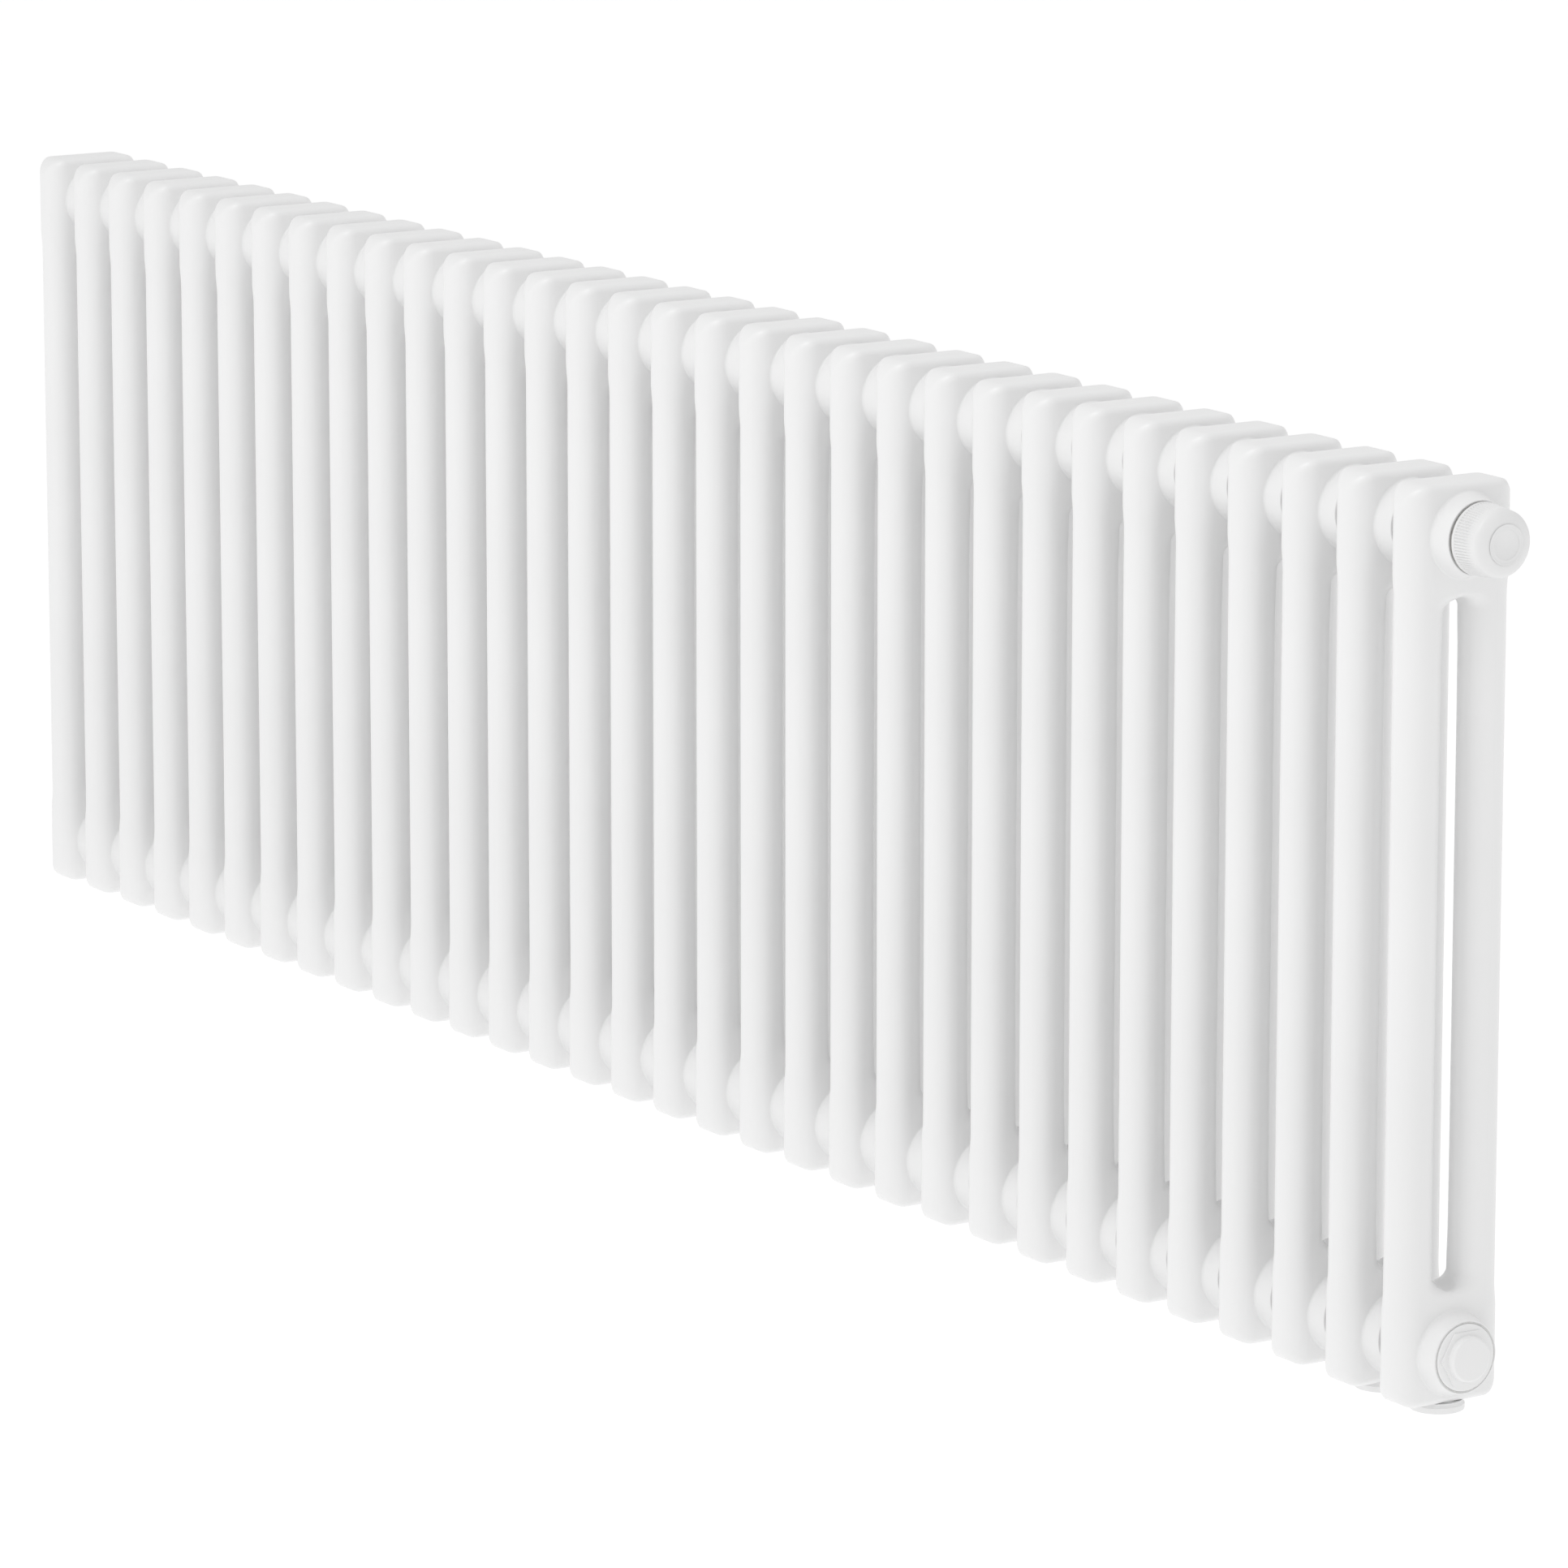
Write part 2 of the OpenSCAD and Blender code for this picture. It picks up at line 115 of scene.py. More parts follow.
def mix(a, b, t):
    return a + (b - a) * t


# ---------------------------------------------------------------- mesh helpers


def new_object(name, verts, faces, angle=40):
    """Mesh object with doubles merged, closed shells facing outwards and smooth shading by angle."""
    mesh = bpy.data.meshes.new(name)
    mesh.from_pydata(verts, [], faces)
    obj = bpy.data.objects.new(name, mesh)
    bpy.context.scene.collection.objects.link(obj)
    tidy(obj, angle)
    return obj


def tidy(obj, angle=40):
    """Merges doubles, turns the faces outwards and shades smooth up to an angle in degrees."""
    bm = bmesh.new()
    bm.from_mesh(obj.data)
    bmesh.ops.remove_doubles(bm, verts=bm.verts, dist=0.002 * MM)
    bmesh.ops.dissolve_degenerate(bm, edges=bm.edges, dist=0.001 * MM)
    bmesh.ops.recalc_face_normals(bm, faces=bm.faces)
    bm.to_mesh(obj.data)
    bm.free()
    obj.data.shade_smooth()
    obj.data.set_sharp_from_angle(angle=math.radians(angle))


def grid_faces(rows, columns, close_rows=False, close_columns=False):
    """Quads of a grid of vertices stored row by row."""
    faces = []
    for i in range(rows if close_rows else rows - 1):
        for j in range(columns if close_columns else columns - 1):
            k, m = (i + 1) % rows, (j + 1) % columns
            faces.append((i * columns + j, i * columns + m, k * columns + m, k * columns + j))
    return faces


def turned(profile, segments=96, change=None):
    """Verts and faces of a shape turned round +X. Profile points are (x, radius), and change(x, r, angle)
    gives the x and r to use instead."""
    verts = []
    for x, r in profile:
        for k in range(segments):
            angle = 2 * math.pi * k / segments
            px, pr = change(x, r, angle) if change else (x, r)
            verts.append((px, pr * math.cos(angle), pr * math.sin(angle)))
    faces = grid_faces(len(profile), segments, close_columns=True)
    return verts, faces


def arc(cx, cr, radius, start, end, steps=6):
    """Profile points of a round corner, angles in degrees from +X towards +radius."""
    points = []
    for k in range(steps + 1):
        a = math.radians(mix(start, end, k / steps))
        points.append((cx + radius * math.cos(a), cr + radius * math.sin(a)))
    return points


def joined(*shapes):
    verts, faces = [], []
    for v, f in shapes:
        first = len(verts)
        verts += v
        faces += [tuple(first + i for i in face) for face in f]
    return verts, faces


def placed(shape, x, z, flip=False):
    """Moves a shape to an axis; flip turns it half round the vertical, for the left end."""
    verts, faces = shape
    s = -1 if flip else 1
    return [(x + s * vx, s * vy, z + vz) for vx, vy, vz in verts], faces


def hexagon(x0, x1, across_flats, chamfer):
    """Hexagonal slab with corners towards the front and rear and a turned chamfer on its outer face."""
    corner = across_flats / math.sqrt(3)
    flat_r = across_flats / 2
    segments = 120
    top_r = flat_r * 0.985
    slope = chamfer / (corner - flat_r)

    def radius(angle):
        a = (angle + math.pi / 6) % (math.pi / 3) - math.pi / 6
        return flat_r / math.cos(math.pi / 6 - abs(a))

    verts = []
    for level in range(5):
        for k in range(segments):
            angle = 2 * math.pi * k / segments
            r = radius(angle)
            edge = x1 - slope * max(r - top_r, 0)
            x, pr = [
                (x0, 0),
                (x0, r),
                (edge, r),
                (x1, min(r, top_r)),
                (x1, 0),
            ][level]
            verts.append((x, pr * math.cos(angle), pr * math.sin(angle)))
    return verts, grid_faces(5, segments, close_columns=True)


# ---------------------------------------------------------------- section


def half_thickness(z_end):
    """Half thickness along the row, by distance from the nearer end."""
    return mix(TUBE_R, HEAD_R, smooth((TAPER_LOW - z_end) / (TAPER_LOW - TAPER_HIGH)))


def half_depth(z_end):
    return TUBE_Y + half_thickness(z_end)


def side_surface(y, h):
    """Half thickness at a place on a head's side, before its edges are rounded."""
    r = half_thickness(h)
    beyond = max(abs(y) - TUBE_Y, 0.0)
    return math.sqrt(max(r**2 - beyond**2, 0.0))


def inside_outline(y, h):
    """How far a place lies inside the end of the head's side outline."""
    corner_y = HEAD_HALF_DEPTH - CORNER_R
    if y > corner_y and h < CORNER_R:
        return max(CORNER_R - math.hypot(y - corner_y, CORNER_R - h), 0.0)
    return h


def quarter_stations():
    """Stations along one quarter of the side outline, from mid height to the middle of the end.
    Each is an outline point, the end of its rounding, its turn round the corner and the slot's point,
    direction and edge rounding. Points are (y, distance from the end)."""
    arch_h = CROTCH_H + ARCH_R
    leg_length = arch_h - CORNER_R
    corner_length = CORNER_R * math.pi / 2
    top_length = HEAD_HALF_DEPTH - CORNER_R
    total = leg_length + corner_length + top_length
    outline = []
    # Few stations along the straight tubes, many round the arch and the corner.
    for h in (HEIGHT / 2, HEIGHT / 2 - 60 * MM, 130 * MM, 90 * MM):
        outline.append(((half_depth(h), h), (TUBE_Y, h), 0.0, 0.0))
    for k in range(4):
        h = mix(82 * MM, arch_h, k / 3)
        outline.append(((half_depth(h), h), (TUBE_Y, h), 0.0, 0.0))
    legs, turns, top = 20, 16, 10
    for k in range(1, legs + 1):
        h = mix(arch_h, CORNER_R, k / legs)
        outline.append(((half_depth(h), h), (TUBE_Y, h), 0.0, arch_h - h))
    inner_y, inner_h = TUBE_Y - INNER_CORNER_R, INNER_H + INNER_CORNER_R
    for k in range(1, turns + 1):
        turn = k / turns
        a = math.pi / 2 * turn
        c, d = math.cos(a), math.sin(a)
        outer = (top_length + CORNER_R * c, CORNER_R - CORNER_R * d)
        inner = (inner_y + INNER_CORNER_R * c, inner_h - INNER_CORNER_R * d)
        outline.append((outer, inner, turn, leg_length + corner_length * turn))
    for k in range(1, top + 1):
        left = 1 - k / top
        run = leg_length + corner_length + top_length * (1 - left)
        outline.append(((top_length * left, 0.0), (inner_y * left, INNER_H), 1.0, run))
    stations = []
    for outer, inner, turn, run in outline:
        if run == 0.0:
            widen = smooth((outer[1] - arch_h) / (30 * MM))
            slot = (mix(ARCH_R, SLOT_HALF, widen), outer[1], 1.0, 0.0, TUBE_R)
        else:
            a = math.pi / 2 * run / total
            edge = mix(TUBE_R, CROTCH_EDGE_R, smooth(a / CROTCH_BLEND))
            c, d = math.cos(a), math.sin(a)
            slot = (ARCH_R * c, arch_h - ARCH_R * d, c, d, edge)
        stations.append((outer, inner, turn, slot))
    return stations


def spoke(station):
    """Points (x, y, distance from end) from the outline's middle line, over the side face, to the slot's
    middle line. The side is a height over the outline, so it never folds."""
    (oy, oh), (iy, ih), turn, (sy, sh, sny, snz, slot_edge) = station
    arc_steps, flat_steps, face_steps = 11, 3, 4
    rounding = min(TOP_EDGE_R, ROUND_SHARE * side_surface(oy, oh)) if turn > 0 else 0.0
    share = mix(0.93, 0.55, smooth(turn))
    reach = [share * (1 - math.cos(math.pi / 2 * k / arc_steps)) for k in range(arc_steps + 1)]
    reach += [mix(share, 1.0, k / flat_steps) for k in range(1, flat_steps + 1)]
    points = []
    for t in reach:
        y, h = mix(oy, iy, t), mix(oh, ih, t)
        x = side_surface(y, h)
        left = rounding - inside_outline(y, h)
        if left > 0:
            x += math.sqrt(max(rounding**2 - left**2, 0.0)) - rounding
        points.append((x, y, h))
    rim = points[0][0]
    points = [(0.0, oy, oh), (rim * 0.5, oy, oh)] + points
    slot = []
    for k in range(arc_steps + 1):
        a = math.pi / 2 * k / arc_steps
        d = slot_edge * (1 - math.cos(a))
        y, h = sy + sny * d, sh - snz * d
        slot.append((half_thickness(h) - slot_edge * (1 - math.sin(a)), y, h))
    slot = [(0.0, sy, sh), (slot[0][0] * 0.5, sy, sh)] + slot
    _, y1, h1 = slot[-1]
    for k in range(1, face_steps):
        y, h = mix(iy, y1, k / face_steps), mix(ih, h1, k / face_steps)
        points.append((half_thickness(h), y, h))
    return points + slot[::-1]


def section_shell():
    """Two heads and two tubes as one closed welded skin, standing on z = 0."""
    quarter = [spoke(s) for s in quarter_stations()]
    loop = []
    for points in quarter:
        loop.append([(x, y, HEIGHT - h) for x, y, h in points])
    for points in quarter[::-1][1:]:
        loop.append([(x, -y, HEIGHT - h) for x, y, h in points])
    for points in quarter[1:]:
        loop.append([(x, -y, h) for x, y, h in points])
    for points in quarter[::-1][1:-1]:
        loop.append([(x, y, h) for x, y, h in points])
    verts = []
    for points in loop:
        back = [(-x, y, z) for x, y, z in points[::-1][1:-1]]
        verts += points + back
    columns = len(verts) // len(loop)
    return verts, grid_faces(len(loop), columns, close_rows=True, close_columns=True)


def neck(end_x, free, up):
    """Conical collar that grows out of a head's side with a small fillet; hollow, with a rounded rim.
    up is 1 where the head's end is below the neck and -1 where it is above."""
    inner = [(HEAD_R - NECK_SUNK, 0.0), (HEAD_R - NECK_SUNK, NECK_ROOT_R + NECK_FILLET)]
    fillet = [
        (HEAD_R + NECK_FILLET * (1 - math.sin(a)), NECK_ROOT_R + NECK_FILLET * (1 - math.cos(a)))
        for a in (math.pi / 2 * (1 - k / 6) for k in range(7))
    ]
    rim = arc(end_x - NECK_EDGE_R, NECK_RIM_R - NECK_EDGE_R, NECK_EDGE_R, 80, 0, 6)
    if free:
        inside = arc(end_x - RECESS_EDGE_R, RECESS_R + RECESS_EDGE_R, RECESS_EDGE_R, 0, -90, 4)
        inside += [(end_x - RECESS_DEPTH, RECESS_R), (end_x - RECESS_DEPTH, NECK_BORE_R)]
    else:
        inside = [(end_x, NECK_BORE_R + 0.4 * MM), (end_x - 0.4 * MM, NECK_BORE_R)]
    close = [(end_x - NECK_CLOSED, NECK_BORE_R), (end_x - NECK_CLOSED, 0.0)]

    def conform(x, r, angle):
        if x > HEAD_R + NECK_FILLET:
            return x, r
        drop = HEAD_R - side_surface(r * math.cos(angle), NECK_H + up * r * math.sin(angle))
        share = min(max((HEAD_R + NECK_FILLET - x) / NECK_FILLET, 0.0), 1.0)
        return x - (drop + NECK_SINK) * share, r

    return turned(inner + fillet + rim + inside + close, 96, conform)


def port_opened(shape):
    """Pushes the foot of a shell up behind the nipple's spigot, so that the port is open to the head."""
    verts, faces = shape
    moved = []
    for x, y, z in verts:
        r = math.hypot(x, y)
        if r < PORT_REACH and z < PORT_REACH / 2:
            spread = min(PORT_SPREAD, PORT_WALL_R / r) if r > 0 else 1.0
            x, y, z = x * spread, y * spread, z + PORT_DEPTH
        moved.append((x, y, z))
    return moved, faces


def section_shape(left_free, right_free, has_port=False):
    shapes = [port_opened(section_shell()) if has_port else section_shell()]
    for h, up in ((NECK_H, 1), (HEIGHT - NECK_H, -1)):
        right = neck(END_RIM_X if right_free else RIM_X, right_free, up)
        left = neck(END_RIM_X if left_free else RIM_X, left_free, up)
        shapes.append(placed(right, 0.0, h))
        shapes.append(placed(left, 0.0, h, flip=True))
    return joined(*shapes)


# ---------------------------------------------------------------- fittings

BEAD_IN_R = 15.6 * MM
BEAD_R = 17.4 * MM
BEAD_CROWN = 0.7 * MM
BEAD_RIPPLE = 0.12 * MM
RIPPLES = 46

GASKET_IN_R = 16 * MM
GASKET_BACK_R = 19.3 * MM
GASKET_R = 19.47 * MM
GASKET_FRONT_X = END_RIM_X - 0.6 * MM

BARREL_R = 15.1 * MM
BARREL_START_R = 14.2 * MM
BARREL_LENGTH = 10 * MM
BARREL_TAPER = 1 * MM
FLANGE_R = 18.6 * MM
FLANGE_BACK_EDGE = 0.2 * MM
FLANGE_EDGE = 0.9 * MM

HEX_FLATS = 29 * MM
HEX_T = 1.2 * MM
HEX_SUNK = 0.3 * MM
HEX_CHAMFER = 0.25 * MM

BOSS_R = 12.4 * MM
BOSS_LENGTH = 5.5 * MM
BOSS_FOOT = 0.5 * MM
BOSS_EDGE = 1.5 * MM

VENT_R = 9 * MM
VENT_LENGTH = 9.2 * MM
VENT_FOOT = 0.4 * MM
VENT_EDGE = 0.8 * MM
VENT_BORE_R = 3.45 * MM
VENT_BORE_EDGE = 0.45 * MM
VENT_BORE_END = 2.5 * MM


def weld_bead(z):
    """Rings of weld in the grooves between the necks, each a little rippled."""
    half = PITCH / 2 - RIM_X
    shapes = []
    for i in range(1, len(SECTIONS)):
        x = START_X + (i - 0.5) * PITCH

        def ripple(px, r, angle, seed=i):
            swell = BEAD_RIPPLE * math.sin(RIPPLES * angle + seed) * (1 - (px / half) ** 2)
            return px, r + swell

        profile = [(-half, BEAD_IN_R), (-half, BEAD_R)]
        for k in range(1, 6):
            a = math.pi * (1 - k / 6)
            profile.append((half * math.cos(a), BEAD_R + BEAD_CROWN * math.sin(a)))
        profile += [(half, BEAD_R), (half, BEAD_IN_R), (-half, BEAD_IN_R)]
        shapes.append(placed(turned(profile, 138, ripple), x, z))
    return joined(*shapes)


def gasket_shape():
    """Flat ring whose free edge is squeezed up a little beside the flange."""
    start, end = END_RIM_X - RECESS_DEPTH, GASKET_FRONT_X
    squeeze = 0.4 * MM
    beside = FLANGE_R + 0.05 * MM
    profile = [(start, GASKET_IN_R), (start, GASKET_BACK_R), (end - squeeze, GASKET_R)]
    profile += arc(end + squeeze / 2, GASKET_R - squeeze / 2, squeeze / 2, 90, 0, 4)
    profile += [(end + squeeze, beside + 0.15 * MM), (end, beside)]
    profile += [(end, GASKET_IN_R), (start, GASKET_IN_R)]
    return turned(profile, 96)


def flange_profile():
    """Threaded barrel and flange, from the inside to the front face."""
    start, back = FACE_X - BARREL_LENGTH, GASKET_FRONT_X
    profile = [(start, 0), (start, BARREL_START_R), (start + BARREL_TAPER, BARREL_R)]
    profile += [(back, BARREL_R)]
    profile += [(back, FLANGE_R - FLANGE_BACK_EDGE)]
    profile += arc(back + FLANGE_BACK_EDGE, FLANGE_R - FLANGE_BACK_EDGE, FLANGE_BACK_EDGE, 180, 90, 3)
    profile += [(FACE_X - FLANGE_EDGE + 0.05 * MM, FLANGE_R)]
    profile += arc(FACE_X - FLANGE_EDGE, FLANGE_R - FLANGE_EDGE, FLANGE_EDGE, 80, 0, 6)
    return profile


def flange_and_hexagon():
    """What the blind plugs and the vent plug have in common."""
    flange = turned(flange_profile() + [(FACE_X, 0)])
    return joined(flange, hexagon(FACE_X - HEX_SUNK, FACE_X + HEX_T, HEX_FLATS, HEX_CHAMFER))


def plug_shape():
    """Blind plug: flange, thin chamfered hexagon and a round boss with a soft edge."""
    front, foot_r = FACE_X + BOSS_LENGTH, BOSS_R + BOSS_FOOT
    boss = [(FACE_X, 0), (FACE_X, foot_r)]
    boss += arc(FACE_X + HEX_T + BOSS_FOOT, foot_r, BOSS_FOOT, 180, 270, 4)
    boss += arc(front - BOSS_EDGE, BOSS_R - BOSS_EDGE, BOSS_EDGE, 90, 0, 8)
    boss += [(front, 0)]
    return joined(flange_and_hexagon(), turned(boss))


def vent_plug_shape():
    """Air vent plug: the same flange and hexagon with a nose and a bore for the bleed screw."""
    front, foot_r, end = FACE_X + VENT_LENGTH, VENT_R + VENT_FOOT, FACE_X + VENT_BORE_END
    nose = [(FACE_X, 0), (FACE_X, foot_r)]
    nose += arc(FACE_X + HEX_T + VENT_FOOT, foot_r, VENT_FOOT, 180, 270, 4)
    nose += arc(front - VENT_EDGE, VENT_R - VENT_EDGE, VENT_EDGE, 90, 0, 5)
    nose += [(front, VENT_BORE_R + VENT_BORE_EDGE), (front - VENT_BORE_EDGE, VENT_BORE_R)]
    nose += [(end, VENT_BORE_R), (end, 0)]
    return joined(flange_and_hexagon(), turned(nose))


def thread_wave(turns):
    """Saw of a pipe thread, 0 at its root and 1 at its crest."""
    t = turns % 1.0
    return 1 - abs(2 * t - 1)


def nipple_shape():
    """Short port nipple along +X from its mouth; the bore has a helical pipe thread."""
    pitch = 1.814 * MM
    crest, depth = 9.32 * MM, 1.1 * MM
    length, body = 14.5 * MM, 5.5 * MM
    spigot_r, neck_r, collar_r, edge = 11.3 * MM, 14 * MM, 15 * MM, 0.6 * MM
    outside = [(length, crest + depth), (length, spigot_r), (body, spigot_r), (body, neck_r)]
    outside += [(body - 1 * MM, neck_r), (body - 1.8 * MM, 14.6 * MM), (body - 2.2 * MM, collar_r)]
    outside += arc(edge, collar_r - edge, edge, 90, 180, 5)
    mouth = [(0.0, crest + depth + 0.3 * MM)]
    steps = 8 * 12
    bore = [(mix(edge, length, k / steps), crest) for k in range(steps + 1)]

    def threaded(x, r, angle):
        if r > crest:
            return x, r
        wave = thread_wave(x / pitch + angle / (2 * math.pi))
        return x, crest + depth * (1 - min(wave * 1.3, 1.0))

    return turned(outside + mouth + bore + [(length, crest + depth)], 96, threaded)


def upright(shape, x, z):
    """Stands a shape built along +X on a port's mouth, pointing up."""
    verts, faces = shape
    return [(x + vy, vz, z + vx) for vx, vy, vz in verts], faces


CAP_LOW, CAP_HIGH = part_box("hand_cap")


def hand_cap_shape():
    """Ribbed cap, hollow behind, with a smooth lip and a squarish dome with a shallow round recess."""
    start = CAP_LOW.x - END_X
    end = CAP_HIGH.x - END_X
    lip_r, shoulder_r = 19.8 * MM, 18.2 * MM
    hollow_r, bore_r, bore_depth = 18.9 * MM, 15.05 * MM, 8.9 * MM
    rim_depth, inner_edge, outer_edge = 2 * MM, 0.3 * MM, 0.35 * MM
    rib_start, rib_end = start + 2.0 * MM, end - 5.3 * MM
    dome_height, squareness = 5 * MM, 0.6
    dome = end - dome_height
    ribs, per_rib = 72, 12
    rib_depth = 0.85 * MM

    def body_r(x):
        return mix(lip_r, shoulder_r, (x - start) / (dome - start))

    profile = [(start + bore_depth, 0.0), (start + bore_depth, bore_r), (start + rim_depth, bore_r)]
    profile += [(start + rim_depth, hollow_r), (start + 0.2 * MM, hollow_r)]
    profile += arc(start + inner_edge, hollow_r + inner_edge, inner_edge, 270, 180, 3)
    profile += arc(start + outer_edge, lip_r - outer_edge, outer_edge, 180, 90, 4)
    profile += [(rib_start - 0.1 * MM, lip_r)]
    profile += [(rib_start + k * 0.1 * MM, body_r(rib_start)) for k in range(4)]
    steps = 18
    for k in range(steps + 1):
        x = mix(rib_start + 0.9 * MM, rib_end, k / steps)
        profile.append((x, body_r(x)))
    for k in range(0, 13):
        a = math.pi / 2 * k / 12
        profile.append((dome + dome_height * math.sin(a), shoulder_r * math.cos(a) ** squareness))
    profile[-1] = (end, 0.0)
    sunk = end - 0.3 * MM
    recess = [(end - 0.04 * MM, 11.0 * MM), (end, 9.9 * MM), (sunk, 9.5 * MM), (sunk, 0.0)]
    profile = [p for p in profile if p[0] < end - 0.09 * MM] + recess

    def ribbed(x, r, angle):
        if not rib_start <= x <= rib_end or r < 17 * MM:
            return x, r
        fade = smooth((x - rib_start) / (0.3 * MM)) * smooth((rib_end - x) / (8 * MM))
        wave = 0.5 + 0.5 * math.cos(ribs * angle)
        return x, r - rib_depth * fade * (1 - wave)

    return turned(profile, ribs * per_rib, ribbed)


# ---------------------------------------------------------------- materials


def material(name, colour, roughness, metallic=0.0, **sockets):
    mat = bpy.data.materials.new(name)
    mat.use_nodes = True
    shader = mat.node_tree.nodes["Principled BSDF"]
    shader.inputs["Base Color"].default_value = (*colour, 1)
    shader.inputs["Roughness"].default_value = roughness
    shader.inputs["Metallic"].default_value = metallic
    for socket, value in sockets.items():
        shader.inputs[socket.replace("_", " ")].default_value = value
    return mat, mat.node_tree, shader


def add_noise(tree, scale, detail=3.0, stretch=(1, 1, 1)):
    """Noise in object coordinates, in features per metre."""
    coordinate = tree.nodes.new("ShaderNodeTexCoord")
    mapping = tree.nodes.new("ShaderNodeMapping")
    mapping.inputs["Scale"].default_value = stretch
    noise = tree.nodes.new("ShaderNodeTexNoise")
    noise.inputs["Scale"].default_value = scale
    noise.inputs["Detail"].default_value = detail
    tree.links.new(coordinate.outputs["Object"], mapping.inputs["Vector"])
    tree.links.new(mapping.outputs["Vector"], noise.inputs["Vector"])
    return noise


def ramp_to(tree, source, target, low, high):
    """Maps a 0..1 value to a range and links it to a socket."""
    ramp = tree.nodes.new("ShaderNodeMapRange")
    ramp.inputs["From Min"].default_value = 0.3
    ramp.inputs["From Max"].default_value = 0.7
    ramp.inputs["To Min"].default_value = low
    ramp.inputs["To Max"].default_value = high
    tree.links.new(source.outputs["Fac"], ramp.inputs["Value"])
    tree.links.new(ramp.outputs["Result"], target)


def tint(tree, source, target, dark, light):
    """Maps a 0..1 value to a range of colours."""
    ramp = tree.nodes.new("ShaderNodeValToRGB")
    ramp.color_ramp.elements[0].position = 0.35
    ramp.color_ramp.elements[1].position = 0.65
    ramp.color_ramp.elements[0].color = (*dark, 1)
    ramp.color_ramp.elements[1].color = (*light, 1)
    tree.links.new(source.outputs["Fac"], ramp.inputs["Fac"])
    tree.links.new(ramp.outputs["Color"], target)


def bump(tree, shader, source, strength, distance):
    node = tree.nodes.new("ShaderNodeBump")
    node.inputs["Strength"].default_value = strength
    node.inputs["Distance"].default_value = distance
    tree.links.new(source.outputs["Fac"], node.inputs["Height"])
    tree.links.new(node.outputs["Normal"], shader.inputs["Normal"])


def lacquer():
    """White stove lacquer: semi-gloss, with faint orange peel and slow variation in colour and gloss."""
    mat, tree, shader = material("white_lacquer", (0.8, 0.8, 0.8), 0.33)
    slow = add_noise(tree, 9, 2)
    tint(tree, slow, shader.inputs["Base Color"], (0.825, 0.825, 0.825), (0.84, 0.84, 0.84))
    ramp_to(tree, add_noise(tree, 60, 3), shader.inputs["Roughness"], 0.30, 0.38)
    bump(tree, shader, add_noise(tree, 420, 2), 0.05, 0.15 * MM)
    return mat


def painted_bead():
    mat, tree, shader = material("weld_bead", (0.62, 0.62, 0.61), 0.5)
    colour = shader.inputs["Base Color"]
    tint(tree, add_noise(tree, 400, 3), colour, (0.55, 0.55, 0.54), (0.68, 0.68, 0.67))
    bump(tree, shader, add_noise(tree, 900, 3), 0.3, 0.2 * MM)
    return mat


def cap_plastic():
    """Moulded plastic with a very fine grain."""
    mat, tree, shader = material("cap_plastic", (0.78, 0.78, 0.78), 0.42)
    colour = shader.inputs["Base Color"]
    tint(tree, add_noise(tree, 50, 2), colour, (0.79, 0.79, 0.79), (0.81, 0.81, 0.81))
    ramp_to(tree, add_noise(tree, 300, 2), shader.inputs["Roughness"], 0.38, 0.48)
    bump(tree, shader, add_noise(tree, 3500, 2), 0.12, 0.05 * MM)
    return mat


def fibre():
    mat, tree, shader = material("fibre_gasket", (0.5, 0.5, 0.49), 0.75)
    colour = shader.inputs["Base Color"]
    tint(tree, add_noise(tree, 700, 4), colour, (0.64, 0.64, 0.63), (0.72, 0.72, 0.71))
    bump(tree, shader, add_noise(tree, 1500, 3), 0.3, 0.1 * MM)
    return mat


def rubber():
    mat, tree, shader = material("seal_rubber", (0.03, 0.03, 0.03), 0.6)
    colour = shader.inputs["Base Color"]
    tint(tree, add_noise(tree, 500, 3), colour, (0.02, 0.02, 0.02), (0.045, 0.045, 0.045))
    bump(tree, shader, add_noise(tree, 2000, 3), 0.2, 0.05 * MM)
    return mat


def turned_metal(name, dark, light, low, high):
    """Metal with fine turning marks round the X axis."""
    mat, tree, shader = material(name, light, (low + high) / 2, 1.0)
    rings = add_noise(tree, 900, 3, (1, 0.02, 0.02))
    tint(tree, add_noise(tree, 120, 3), shader.inputs["Base Color"], dark, light)
    ramp_to(tree, rings, shader.inputs["Roughness"], low, high)
    bump(tree, shader, rings, 0.25, 0.03 * MM)
    return mat


FLOOR_GLOW = 0.24


def pale_floor():
    """Floor of a photo studio, faintly lit from within so that it stays white far behind the radiator."""
    mat, tree, shader = material("floor", (0.96, 0.96, 0.96), 0.9)
    shader.inputs["Emission Color"].default_value = (1, 1, 1, 1)
    shader.inputs["Emission Strength"].default_value = FLOOR_GLOW
    colour = shader.inputs["Base Color"]
    tint(tree, add_noise(tree, 0.7, 2), colour, (0.955, 0.955, 0.955), (0.965, 0.965, 0.965))
    return mat


LOOKS = {
    "white_lacquer": lacquer(),
    "weld_bead": painted_bead(),
    "fibre_gasket": fibre(),
    "bare_steel": turned_metal("bare_steel", (0.42, 0.42, 0.43), (0.5, 0.5, 0.51), 0.35, 0.5),
    "valve_brass": turned_metal("valve_brass", (0.72, 0.71, 0.69), (0.82, 0.81, 0.79), 0.28, 0.42),
    "stainless": turned_metal("stainless", (0.6, 0.6, 0.61), (0.7, 0.7, 0.71), 0.2, 0.34),
    "seal_rubber": rubber(),
    "cap_plastic": cap_plastic(),
}

SLOT_OF = {s["node"]: s["material_slot"] for s in frame["record"]["subparts"]}
for name, node in frame["nodes"].items():
    node.data.materials.clear()
    node.data.materials.append(LOOKS[SLOT_OF[name]])


# ---------------------------------------------------------------- pieces


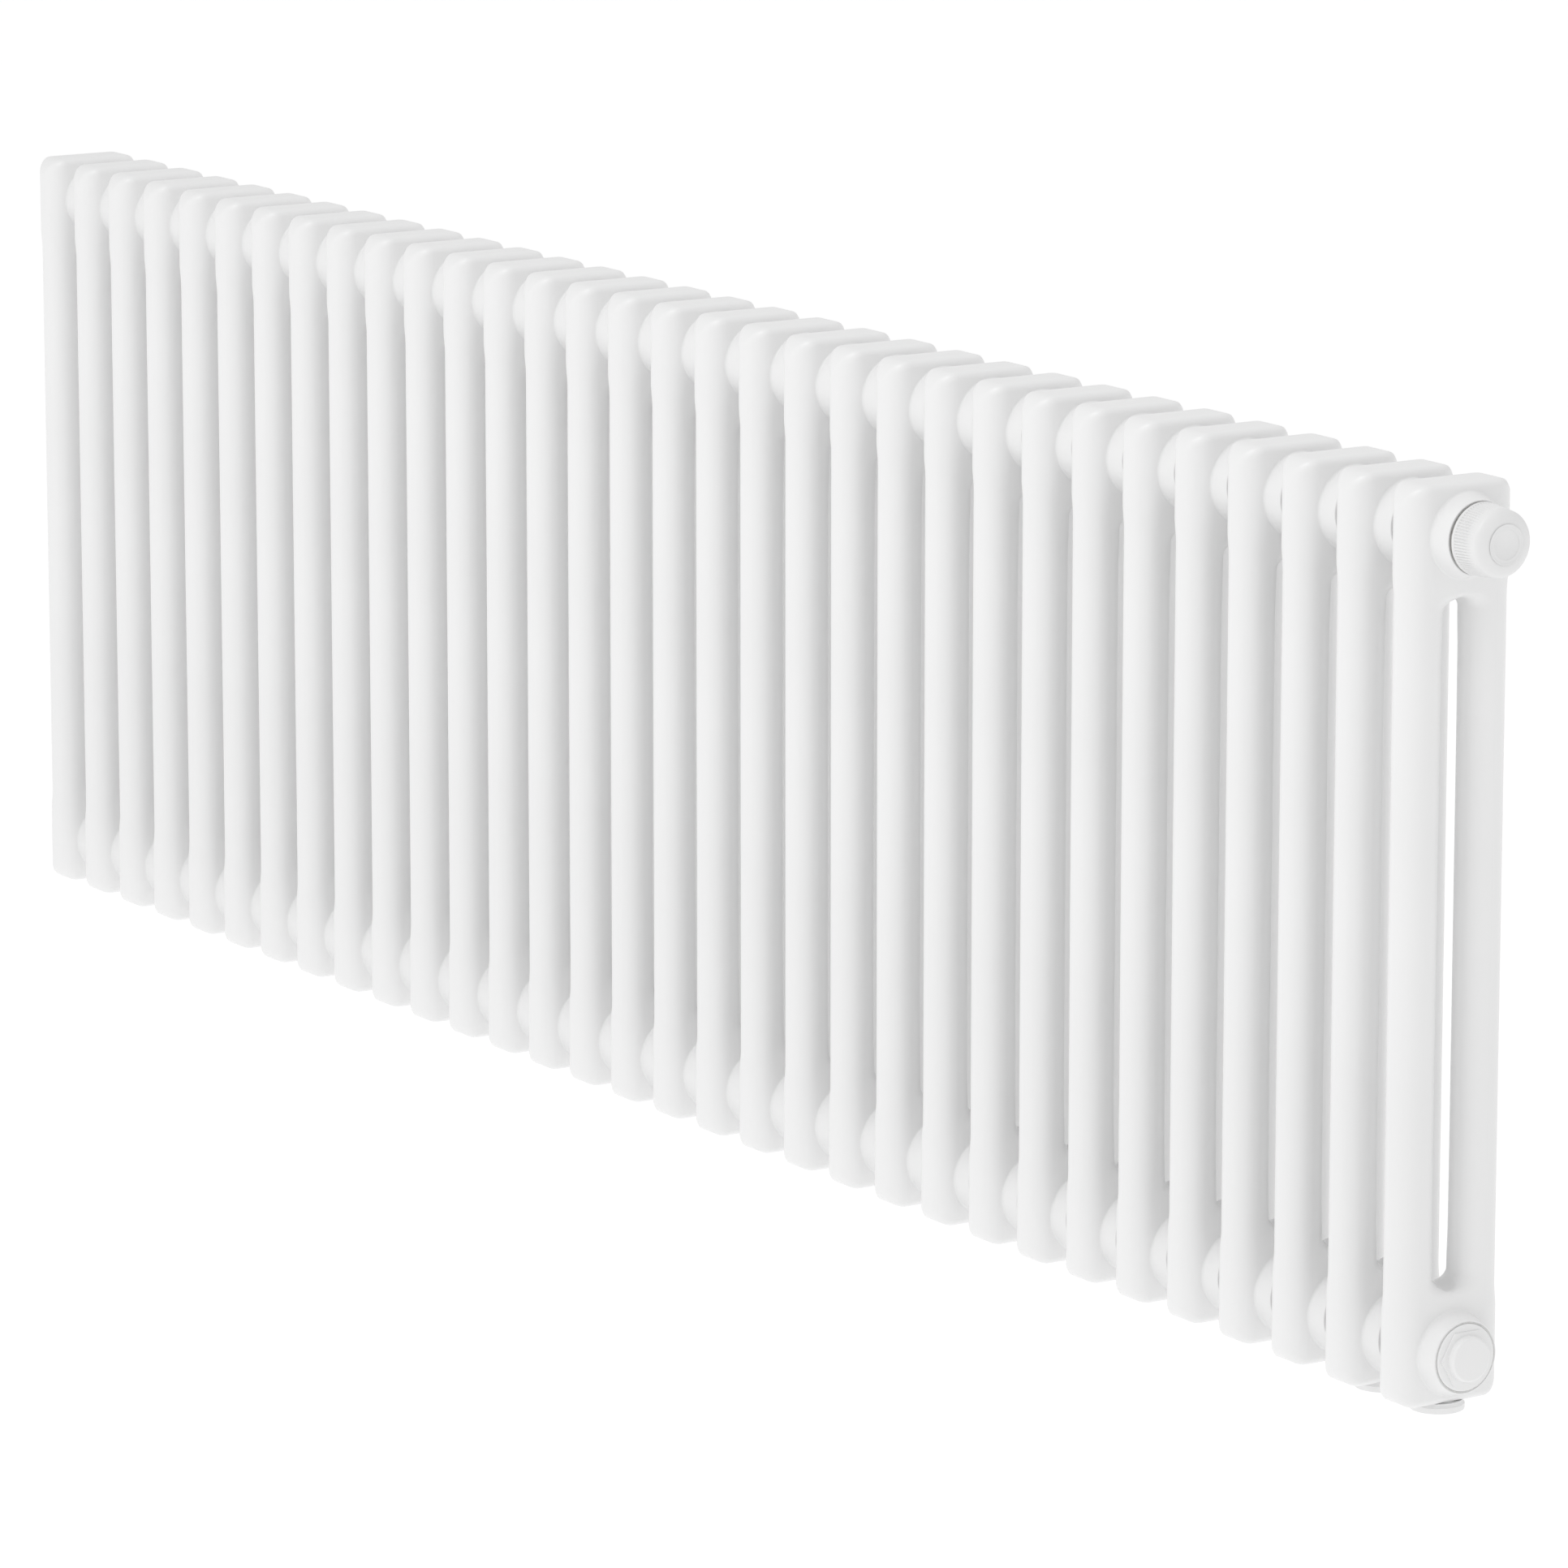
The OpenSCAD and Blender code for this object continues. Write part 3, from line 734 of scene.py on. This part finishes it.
def piece(name, shape, body, node, at=None, angle=40):
    """A finished piece that stands for one CAD node and rides on its body."""
    obj = new_object(name, *shape, angle=angle)
    return settle(obj, body, node, at)


def settle(obj, body, node, at=None):
    """Gives a piece its place, its body and, if it has none, the material of the CAD node it stands for,
    and hides that node.
    """
    slot = SLOT_OF[node]
    if not obj.data.materials:
        obj.data.materials.append(LOOKS[slot])
    if at is not None:
        obj.location = at
    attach(obj, body)
    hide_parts(node)
    return obj


# Sections without a free side or a port share one mesh.
plain = None
for number, node in enumerate(SECTIONS, 1):
    at = Vector((START_X + (number - 1) * PITCH, 0, FOOT_Z))
    name = f"{node}_skin"
    if node in (FIRST, SECTIONS[-2], LAST):
        shape = section_shape(node == FIRST, node == LAST, node != FIRST)
        piece(name, shape, "radiator", node, at)
    elif plain is None:
        plain = piece(name, section_shape(False, False), "radiator", node, at).data
    else:
        obj = bpy.data.objects.new(name, plain)
        bpy.context.scene.collection.objects.link(obj)
        settle(obj, "radiator", node, at)

BOTTOM_AXIS_Z = FOOT_Z + NECK_H
TOP_AXIS_Z = FOOT_Z + HEIGHT - NECK_H
piece("weld_beads_top", weld_bead(TOP_AXIS_Z), "radiator", "weld_rings_top")
piece("weld_beads_bottom", weld_bead(BOTTOM_AXIS_Z), "radiator", "weld_rings_bottom")

for node in ("supply_nipple", "return_nipple"):
    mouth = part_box(node)[0].z
    piece(f"{node}_turned", upright(nipple_shape(), middle(node).x, mouth), "radiator", node)

plug = placed(plug_shape(), END_X, BOTTOM_AXIS_Z)
piece("plug_right_moulded", plug, "radiator", "plug_bottom_right", angle=30)
plug = placed(plug_shape(), START_X, BOTTOM_AXIS_Z, True)
piece("plug_left_moulded", plug, "radiator", "plug_bottom_left", angle=30)
plug = placed(vent_plug_shape(), START_X, TOP_AXIS_Z, True)
piece("vent_plug_turned", plug, "radiator", "vent_plug", angle=30)
for node, x, z, flip in (
    ("plug_bottom_right_gasket", END_X, BOTTOM_AXIS_Z, False),
    ("plug_bottom_left_gasket", START_X, BOTTOM_AXIS_Z, True),
    ("vent_plug_gasket", START_X, TOP_AXIS_Z, True),
    ("valve_insert_gasket", END_X, TOP_AXIS_Z, False),
):
    piece(f"{node}_ring", placed(gasket_shape(), x, z, flip), "radiator", node)

piece("hand_cap_ribbed", placed(hand_cap_shape(), END_X, TOP_AXIS_Z), "cap", "hand_cap", angle=55)


# ---------------------------------------------------------------- floor, light, camera


def floor():
    """Square sheet well below the part, which hangs free in the photo."""
    half = 60
    z = FOOT_Z - 0.9
    corners = [(-half, -half, z), (half, -half, z), (half, half, z), (-half, half, z)]
    obj = new_object("floor", corners, [(0, 1, 2, 3)])
    obj.data.materials.append(pale_floor())


def softbox(name, place, target, size, power):
    """Square area light at a place, turned to a target; size in metres, power in watts."""
    data = bpy.data.lights.new(name, "AREA")
    data.shape = "SQUARE"
    data.size = size
    data.energy = power
    lamp = bpy.data.objects.new(name, data)
    lamp.location = place
    lamp.rotation_mode = "QUATERNION"
    lamp.rotation_quaternion = (Vector(target) - Vector(place)).to_track_quat("-Z", "Y")
    bpy.context.scene.collection.objects.link(lamp)


floor()
softbox("key", place=(0.65, -2.0, 2.6), target=(0.5, 0, 0), size=1.4, power=23)
softbox("fill", place=(-1.4, -4.2, 1.2), target=(0.2, 0, -0.1), size=2.2, power=4)

world = bpy.data.worlds.new("studio")
world.use_nodes = True
world.node_tree.nodes["Background"].inputs["Color"].default_value = (1, 1, 1, 1)
world.node_tree.nodes["Background"].inputs["Strength"].default_value = 0.8
bpy.context.scene.world = world

# The camera comes from a fit to edges of the radiator, with the tubes' spacing as the known length.
AZIMUTH, ELEVATION = math.radians(57.863), math.radians(11.764)
EYE = Vector((4.20649, -2.56971, 0.77476))
level = math.cos(ELEVATION)
back = Vector((math.sin(AZIMUTH) * level, -math.cos(AZIMUTH) * level, math.sin(ELEVATION)))
lens = bpy.data.cameras.new("photo_view")
lens.sensor_width = 36
lens.lens = 189.5
lens.clip_start, lens.clip_end = 0.1, 200
camera = bpy.data.objects.new("photo_view", lens)
camera.location = EYE
camera.rotation_mode = "QUATERNION"
camera.rotation_quaternion = (-back).to_track_quat("-Z", "Y")
bpy.context.scene.collection.objects.link(camera)
bpy.context.scene.camera = camera
bpy.context.scene.view_settings.view_transform = "Standard"
